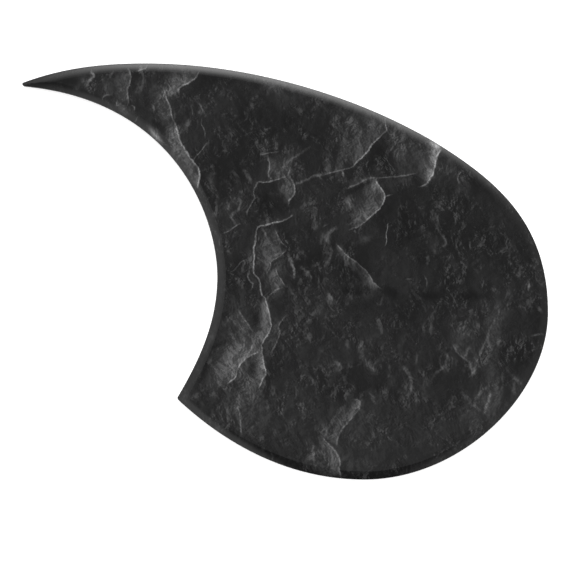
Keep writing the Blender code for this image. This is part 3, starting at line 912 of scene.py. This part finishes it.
studio = {
    "viewWidth": 187.5 * mm,  # seen across, at the face's height
    "aim": (0.93 * mm, -5.38 * mm),
    "lens": 100.0,
    "sensor": 36.0,
    "nearest": 0.01,
    "furthest": 50.0,
    "floorSize": 12.0,
    "floorDrop": 0.05 * mm,
    "floorColour": (0.90, 0.90, 0.90),
    "floorHaze": 0.985,
    "floorHazeNoise": (3.0, 2, 0.5),
    "floorRoughness": 0.8,
    "floorGlow": 0.55,
    "keyTurn": 40.0,  # degrees from straight up, towards +Y
    "keyDistance": 2.2,
    "keySize": 1.8,
    "keyPower": 30.0,
    "fill": 0.80,
    "skyWhite": 0.25,  # added where the sky itself is seen
    "overhead": 0.17,
    "aroundGloss": 0.42,
    "farGloss": 6.0,
    "farFall": 4.2,
    "leftGloss": 0.44,
    # where each reflected light fades in, along one part of the direction that is looked in
    "farDepth": (0.05, 0.95),
    "farSide": (-0.45, 0.0),
    "farHeight": (0.36, 0.50),
    "leftSide": (0.02, 0.30),
    "leftDepth": (0.60, 0.0),
    "aroundTilt": (0.99, 0.75),
    "rightDim": 0.3,
    "rightSide": (0.1, 0.45),
    "frontDepth": (0.10, 0.35),
    "frontWidth": (0.40, 0.18),
}


def makeFloor():
    shape = bmesh.new()
    bmesh.ops.create_grid(shape, x_segments=1, y_segments=1, size=studio["floorSize"] / 2)
    mesh = bpy.data.meshes.new("floor")
    shape.to_mesh(mesh)
    shape.free()
    m = Maker(bpy.data.materials.new("paleFloor"))
    haze = m.noise(m.add("ShaderNodeTexCoord", out="Object"), *studio["floorHazeNoise"])
    pale = studio["floorColour"]
    hazy = tuple(studio["floorHaze"] * c for c in pale)
    colour = m.blend(haze, hazy, pale)
    mesh.materials.append(m.finish(Base_Color=colour, Roughness=studio["floorRoughness"],
                                   Emission_Color=(1, 1, 1, 1), Emission_Strength=studio["floorGlow"]))
    # clear from underneath, so that the back can be looked at
    under = m.add("ShaderNodeNewGeometry", out="Backfacing")
    clear = m.add("ShaderNodeBsdfTransparent")
    top = Value(m, m.nodes["Principled BSDF"].outputs[0])
    seen = m.add("ShaderNodeMixShader", {}, {0: under, 1: top, 2: clear})
    m.set(m.nodes["Material Output"], {"Surface": seen})
    floor = bpy.data.objects.new("floor", mesh)
    floor.location.z = -studio["floorDrop"]
    bpy.context.scene.collection.objects.link(floor)


def makeLights():
    key = bpy.data.lights.new("softbox", "AREA")
    key.shape = "DISK"
    key.size = studio["keySize"]
    key.energy = studio["keyPower"]
    lamp = bpy.data.objects.new("softbox", key)
    turn = math.radians(studio["keyTurn"])
    lamp.location = (0, studio["keyDistance"] * math.sin(turn), studio["keyDistance"] * math.cos(turn))
    lamp.rotation_euler = (-turn, 0, 0)
    lamp.visible_glossy = False
    bpy.context.scene.collection.objects.link(lamp)


def makeWorld():
    # even fill light; in reflections a dim ceiling, a bright far wall, a softer left wall and a dark front
    s = studio
    world = bpy.data.worlds.new("studio")
    bpy.context.scene.world = world
    m = Maker(world)
    x, y, z = m.split(m.add("ShaderNodeTexCoord", out="Generated"))
    far = m.ease(y, *s["farDepth"]) ** s["farFall"] * m.ease(x, *s["farSide"]) * m.ease(z, *s["farHeight"])
    left = m.ease(x * -1, *s["leftSide"]) * m.ease(y, *s["leftDepth"])
    around = m.ease(z, *s["aroundTilt"]) * (1 - m.ease(x, *s["rightSide"]) * s["rightDim"])
    front = m.ease(y * -1, *s["frontDepth"]) * m.ease(abs(x), *s["frontWidth"])
    gloss = far * s["farGloss"] + left * s["leftGloss"] + around * s["aroundGloss"] + s["overhead"]
    glossy = m.add("ShaderNodeLightPath", out="Is Glossy Ray")
    seen = m.add("ShaderNodeLightPath", out="Is Camera Ray")
    strength = gloss * (1 - front) * glossy + (1 - glossy) * s["fill"] + seen * s["skyWhite"]
    m.set(m.nodes["Background"], {"Color": (1, 1, 1, 1), "Strength": strength})


def makeCamera():
    camera = bpy.data.cameras.new("camera")
    camera.lens = studio["lens"]
    camera.sensor_width = studio["sensor"]
    camera.clip_start = studio["nearest"]
    camera.clip_end = studio["furthest"]
    holder = bpy.data.objects.new("camera", camera)
    height = studio["viewWidth"] * studio["lens"] / studio["sensor"]
    holder.location = (*studio["aim"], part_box("slate_face")[1].z - faceSizes["bevelDrop"] + height)
    bpy.context.scene.collection.objects.link(holder)
    bpy.context.scene.camera = holder


makeFloor()
makeLights()
makeWorld()
makeCamera()
bpy.context.scene.view_settings.view_transform = "Standard"
bpy.context.scene.view_settings.look = "None"
print("studio: floor, softbox, sky and camera")
